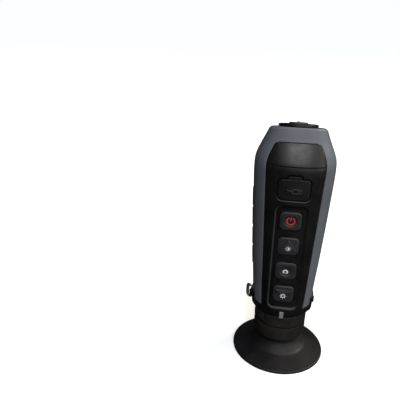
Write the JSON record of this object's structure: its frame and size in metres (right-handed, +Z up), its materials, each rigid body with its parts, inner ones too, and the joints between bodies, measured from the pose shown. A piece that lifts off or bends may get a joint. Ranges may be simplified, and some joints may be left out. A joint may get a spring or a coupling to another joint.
{
  "type": "handheld thermal imaging camera",
  "caption": "Handheld thermal imaging monocular with a tapered oval body, keys, port door, lens cap, focus ring and flared rubber eyecup, standing on the eyecup.",
  "frame": {"origin": "centre of the eyecup rim's underside, on the surface that the object stands on", "axes": "+Z up along the optical axis to the objective end, key panel facing -Y, +X to the right of someone who looks at the keys"},
  "size_m": [0.0664, 0.0664, 0.1717],
  "materials": {
    "black_plastic": "fine-textured satin black moulding",
    "grey_plastic": "fine-textured slate grey moulding",
    "black_rubber": "matte black rubber",
    "key_rubber": "satin dark grey silicone rubber",
    "index_mark": "light grey moulding",
    "steel": "satin steel",
    "alloy": "anodised alloy",
    "optical_glass": "coated clear glass",
    "germanium": "dark coated germanium, opaque to visible light",
    "circuit_board": "green solder mask",
    "flex_film": "amber polyimide film",
    "cell_wrap": "satin wrap"
  },
  "bodies": {
    "housing": {"front_panel": "black_plastic", "back_shell": "black_plastic", "lens_bezel": "black_plastic", "port_frame": "black_plastic", "battery_tray": "black_plastic", "display_holder": "black_plastic", "eyepiece_collar": "black_plastic", "strap_lug_left": "black_plastic", "strap_lug_right": "black_plastic", "side_frame": "grey_plastic", "side_grip_left": "black_rubber", "side_grip_right": "black_rubber", "eyecup": "black_rubber", "objective_o_ring": "black_rubber", "eyepiece_o_ring": "black_rubber", "index_mark": "index_mark", "housing_screw_1": "steel", "housing_screw_2": "steel", "housing_screw_3": "steel", "housing_screw_4": "steel", "usb_socket": "steel", "video_socket": "steel", "shutter_solenoid": "steel", "objective_barrel": "alloy", "objective_spacer": "alloy", "objective_retaining_ring": "alloy", "objective_mount": "alloy", "core_housing": "alloy", "shutter_frame": "alloy", "display_module": "alloy", "eyepiece_barrel": "alloy", "eyepiece_flange": "alloy", "key_switch_power": "alloy", "key_switch_up": "alloy", "key_switch_capture": "alloy", "key_switch_down": "alloy", "objective_front_lens": "germanium", "objective_rear_lens": "germanium", "key_board": "circuit_board", "main_board": "circuit_board", "core_board": "circuit_board", "port_board": "circuit_board", "display_flex": "flex_film", "battery_cell": "cell_wrap", "detector_package": "cell_wrap"},
    "key_power": {"key_power": "key_rubber"},
    "key_up": {"key_up": "key_rubber"},
    "key_capture": {"key_capture": "key_rubber"},
    "key_down": {"key_down": "key_rubber"},
    "port_door": {"port_door": "black_rubber"},
    "lens_cap": {"lens_cap": "black_plastic"},
    "diopter_ring": {"diopter_ring": "black_plastic"},
    "eyepiece_cell": {"eyepiece_lens_cell": "black_plastic", "eyepiece_eye_lens": "optical_glass", "eyepiece_field_lens": "optical_glass"},
    "shutter_blade": {"shutter_blade": "steel"},
    "strap_loop_left": {"strap_loop_left": "steel"},
    "strap_loop_right": {"strap_loop_right": "steel"}
  },
  "joints": [
    {"name": "key_power_press", "type": "slide", "parent": "housing", "child": "key_power", "axis": [0, 1, 0], "range_m": [0, 0.0006], "stiffness_N_per_m": 600},
    {"name": "key_up_press", "type": "slide", "parent": "housing", "child": "key_up", "axis": [0, 1, 0], "range_m": [0, 0.0006], "stiffness_N_per_m": 600},
    {"name": "key_capture_press", "type": "slide", "parent": "housing", "child": "key_capture", "axis": [0, 1, 0], "range_m": [0, 0.0006], "stiffness_N_per_m": 600},
    {"name": "key_down_press", "type": "slide", "parent": "housing", "child": "key_down", "axis": [0, 1, 0], "range_m": [0, 0.0006], "stiffness_N_per_m": 600},
    {"name": "port_door_hinge", "type": "hinge", "parent": "housing", "child": "port_door", "pos_m": [0, -0.0235, 0.1266], "axis": [1, 0, 0], "range_deg": [0, 110]},
    {"name": "lens_cap_pull", "type": "slide", "parent": "housing", "child": "lens_cap", "axis": [0, 0.1564, 0.9877], "range_m": [0, 0.03]},
    {"name": "diopter_turn", "type": "hinge", "parent": "housing", "child": "diopter_ring", "pos_m": [0, 0, 0.032], "axis": [0, 0, 1], "range_deg": [-60, 60]},
    {"name": "eyepiece_focus", "type": "slide", "parent": "housing", "child": "eyepiece_cell", "axis": [0, 0, 1], "range_m": [-0.0015, 0.0015]},
    {"name": "shutter_swing", "type": "hinge", "parent": "housing", "child": "shutter_blade", "pos_m": [0.0145, 0.0125, 0.1278], "axis": [0, 0, 1], "range_deg": [-45, 0]},
    {"name": "strap_loop_left_swing", "type": "hinge", "parent": "housing", "child": "strap_loop_left", "pos_m": [-0.02178, 0.00543, 0.0406], "axis": [0, 0, 1], "range_deg": [-50, 100]},
    {"name": "strap_loop_right_swing", "type": "hinge", "parent": "housing", "child": "strap_loop_right", "pos_m": [0.02178, 0.00543, 0.0406], "axis": [0, 0, 1], "range_deg": [-150, 0]}
  ],
  "couplings": [
    {"joint": "eyepiece_focus", "follows": "diopter_turn", "m_per_rad": 0.00143}
  ]
}
